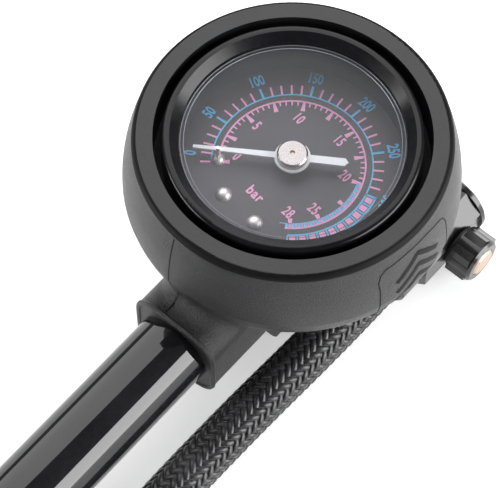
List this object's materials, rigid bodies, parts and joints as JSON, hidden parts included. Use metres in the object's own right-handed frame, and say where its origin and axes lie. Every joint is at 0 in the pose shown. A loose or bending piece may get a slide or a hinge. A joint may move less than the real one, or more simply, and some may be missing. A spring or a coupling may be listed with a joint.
{
  "type": "shock suspension pump",
  "caption": "Hand pump for air suspension: chromed barrel with sliding handle, boot-mounted dial gauge, side bleed button and a braided hose on a banjo ending in a screw-on valve chuck.",
  "frame": {"origin": "on the base plane that the pump lies on, under the gauge's centre", "axes": "+Z out of the dial's face, +Y along the pump's axis away from the handle, +X towards the bleed button"},
  "size_m": [0.0602, 0.2256, 0.047],
  "materials": {
    "boot": "satin black moulded, fine grain",
    "block": "machined",
    "tube": "mirror black",
    "seal": "matt",
    "plastic": "matt",
    "steel": "bright",
    "brass": "satin",
    "bronze": "drawn tube",
    "case": "black",
    "bezel": "gloss black",
    "lens": "clear",
    "dial": "matt dark grey, printed scales",
    "needle": "white",
    "anodised": "black anodised",
    "hose": "braided sleeve",
    "grip": "soft matt",
    "alloy": "satin"
  },
  "bodies": {
    "head": {"gauge_boot": "boot", "manifold": "block", "barrel_tube": "tube", "plug_seal": "seal", "barrel_bush": "plastic", "rod_seal": "seal", "valve_seat": "brass", "check_spring": "steel", "gauge_case": "case", "gauge_bezel": "bezel", "gauge_lens": "lens", "lens_gasket": "seal", "dial_ring": "plastic", "dial_plate": "dial", "dial_rivets": "steel", "stop_pin": "steel", "gauge_socket": "brass", "gauge_seal": "seal", "movement_back_plate": "brass", "movement_front_plate": "brass", "movement_pillars": "brass", "bourdon_tube": "bronze", "bourdon_tip": "brass", "banjo_seals": "seal", "banjo_bolt": "anodised", "bleed_spring": "steel"},
    "check_valve": {"check_poppet": "brass"},
    "pump_rod": {"piston_rod": "steel", "piston": "plastic", "piston_ring": "seal", "rod_nut": "steel", "handle_screw": "steel"},
    "handle": {"handle_core": "alloy", "handle_grip": "grip", "handle_cap": "plastic"},
    "pointer_set": {"pinion_arbor": "brass", "pointer": "needle", "pointer_cap": "steel"},
    "sector": {"sector_gear": "brass", "sector_arbor": "steel"},
    "link": {"bourdon_link": "brass"},
    "bleed": {"bleed_button": "brass"},
    "hose_set": {"banjo_body": "anodised", "banjo_end_cap": "anodised", "hose_ferrule": "anodised", "hose": "hose", "chuck_ferrule": "anodised", "chuck_body": "alloy", "chuck_seal": "seal", "valve_pin": "brass"},
    "sleeve": {"chuck_sleeve": "anodised"}
  },
  "joints": [
    {"name": "pump_stroke", "type": "slide", "parent": "head", "child": "pump_rod", "axis": [0, -1, 0], "range_m": [0, 0.125]},
    {"name": "handle_turn", "type": "hinge", "parent": "pump_rod", "child": "handle", "pos_m": [0, -0.18, 0.0135], "axis": [0, 1, 0], "continuous": true},
    {"name": "check_lift", "type": "slide", "parent": "head", "child": "check_valve", "axis": [0, 1, 0], "range_m": [0, 0.0008], "stiffness_N_per_m": 150, "springref_m": -0.0005, "deforming": ["check_spring"]},
    {"name": "sector_swing", "type": "hinge", "parent": "head", "child": "sector", "pos_m": [-0.0084, 0, 0.0317], "axis": [0, 0, 1], "range_deg": [0, 44.2], "stiffness_Nm_per_rad": 0.0008},
    {"name": "pointer_turn", "type": "hinge", "parent": "head", "child": "pointer_set", "pos_m": [0, 0, 0.0317], "axis": [0, 0, 1], "range_deg": [-265.3, 0]},
    {"name": "link_pull", "type": "slide", "parent": "head", "child": "link", "axis": [0, -1, 0], "range_m": [0, 0.00226]},
    {"name": "bleed_press", "type": "slide", "parent": "head", "child": "bleed", "axis": [-1, 0, 0], "range_m": [0, 0.0015], "stiffness_N_per_m": 400, "springref_m": -0.001, "deforming": ["bleed_spring"]},
    {"name": "hose_swing", "type": "hinge", "parent": "head", "child": "hose_set", "pos_m": [0.017, 0.0205, 0.0071], "axis": [1, 0, 0], "range_deg": [0, 180]},
    {"name": "sleeve_turn", "type": "hinge", "parent": "hose_set", "child": "sleeve", "pos_m": [0.0214, -0.186, 0.0073], "axis": [0, 1, 0], "continuous": true}
  ],
  "couplings": [
    {"joint": "pointer_turn", "follows": "sector_swing", "ratio": -6},
    {"joint": "link_pull", "follows": "sector_swing", "m_per_rad": 0.00291}
  ]
}
